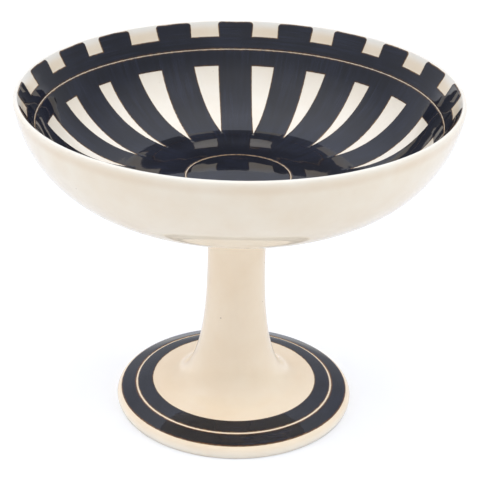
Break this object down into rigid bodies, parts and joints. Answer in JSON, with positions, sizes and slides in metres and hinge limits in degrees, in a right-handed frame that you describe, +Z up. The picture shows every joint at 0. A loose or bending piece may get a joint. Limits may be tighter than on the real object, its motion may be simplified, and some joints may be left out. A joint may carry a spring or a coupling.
{
  "type": "footed compote bowl",
  "caption": "Shallow round bowl with a flared wall on a hollow flared stem and a wide round foot, with black bands and rays on pale glazed clay.",
  "frame": {"origin": "middle of the foot's standing ring, on the table", "axes": "+Z up along the throwing axis; the pattern repeats all round, and +Y is the far side in the picture"},
  "size_m": [0.2752, 0.2752, 0.2178],
  "materials": {
    "glazed_clay": "clear gloss glaze over ivory clay",
    "luting_slip": "clear gloss glaze over smoothed slip",
    "black_slip": "clear gloss glaze over brushed black slip"
  },
  "bodies": {
    "root": {"bowl": "glazed_clay", "pedestal": "glazed_clay", "joint_slip": "luting_slip", "rim_band": "black_slip", "ray_field": "black_slip", "centre_disc": "black_slip", "foot_outer_ring": "black_slip", "foot_inner_ring": "black_slip"}
  },
  "joints": []
}
